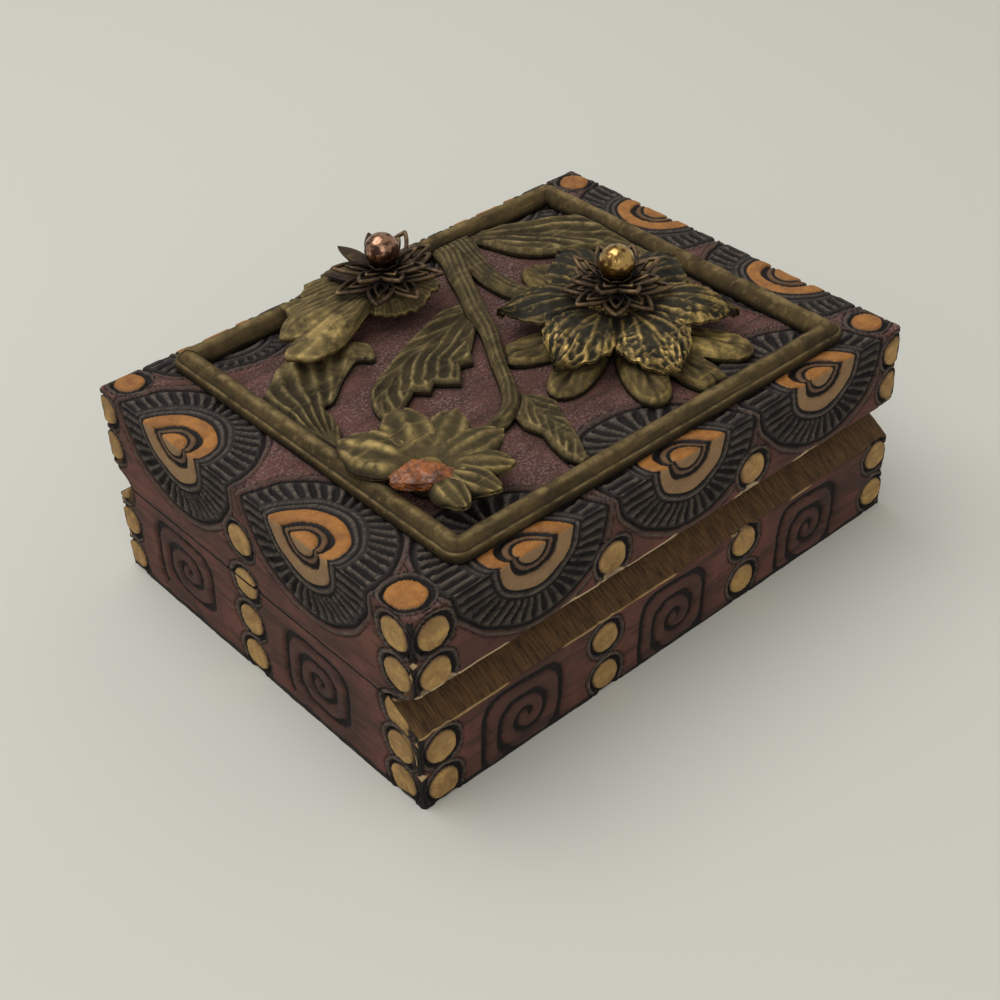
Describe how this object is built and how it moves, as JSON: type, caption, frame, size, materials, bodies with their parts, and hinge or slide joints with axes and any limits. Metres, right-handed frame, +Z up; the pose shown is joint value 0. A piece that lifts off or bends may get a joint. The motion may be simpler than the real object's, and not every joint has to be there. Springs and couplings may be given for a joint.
{
  "type": "keepsake box",
  "caption": "Carved wooden keepsake box with a hinged lid, a finger groove along the front and an openwork brass flower plaque on top.",
  "frame": {"origin": "middle of the box's underside, on the surface that it stands on", "axes": "+X along the long front to the right, +Y from front to back, +Z up"},
  "size_m": [0.13, 0.097, 0.065],
  "materials": {
    "carved_wood": "matt red-brown stain over carved and burnt relief, orange varnish and bare wood on the raised hearts and dots",
    "plain_wood": "bare planed wood",
    "hinge_brass": "plain brass, dulled",
    "frame_brass": "aged brass with an olive patina",
    "leaf_brass": "aged brass casting, veins dark in the hollows",
    "petal_brass": "aged brass, rubbed bright on the high edges",
    "wire_brass": "dark aged brass wire",
    "gold_bead": "polished gilt",
    "copper_bead": "polished copper-toned gilt",
    "amber": "rough amber, glossy on its broken faces",
    "fitting_brass": "turned brass"
  },
  "bodies": {
    "base": {"base_front_wall": "carved_wood", "base_back_wall": "carved_wood", "base_left_wall": "carved_wood", "base_right_wall": "carved_wood", "bottom_board": "plain_wood", "left_hinge_base_leaf": "hinge_brass", "right_hinge_base_leaf": "hinge_brass", "left_hinge_pin": "hinge_brass", "right_hinge_pin": "hinge_brass", "base_hinge_screws": "hinge_brass"},
    "lid": {"lid_board": "carved_wood", "lid_front_rail": "carved_wood", "lid_back_rail": "carved_wood", "lid_left_rail": "carved_wood", "lid_right_rail": "carved_wood", "left_hinge_lid_leaf": "hinge_brass", "right_hinge_lid_leaf": "hinge_brass", "lid_hinge_screws": "hinge_brass", "frame_front_bar": "frame_brass", "frame_back_bar": "frame_brass", "frame_left_bar": "frame_brass", "frame_right_bar": "frame_brass", "stem_spray": "leaf_brass", "serrated_leaf": "leaf_brass", "side_leaf": "leaf_brass", "corner_leaf": "leaf_brass", "small_leaf": "leaf_brass", "flower_backplate": "leaf_brass", "flower_petals": "petal_brass", "flower_sleeve": "fitting_brass", "flower_disc": "petal_brass", "flower_lower_star": "wire_brass", "flower_upper_star": "wire_brass", "flower_bead": "gold_bead", "flower_post": "fitting_brass", "ruffled_leaf": "petal_brass", "star_sleeve": "fitting_brass", "star_lower_star": "wire_brass", "star_upper_star": "wire_brass", "star_bead": "copper_bead", "star_post": "fitting_brass", "daisy_petals": "petal_brass", "daisy_post": "fitting_brass", "amber_cluster": "amber", "post_nuts": "fitting_brass"}
  },
  "joints": [
    {"name": "lid_hinge", "type": "hinge", "parent": "base", "child": "lid", "pos_m": [0, 0.0454, 0.0231], "axis": [-1, 0, 0], "range_deg": [0, 100]}
  ]
}
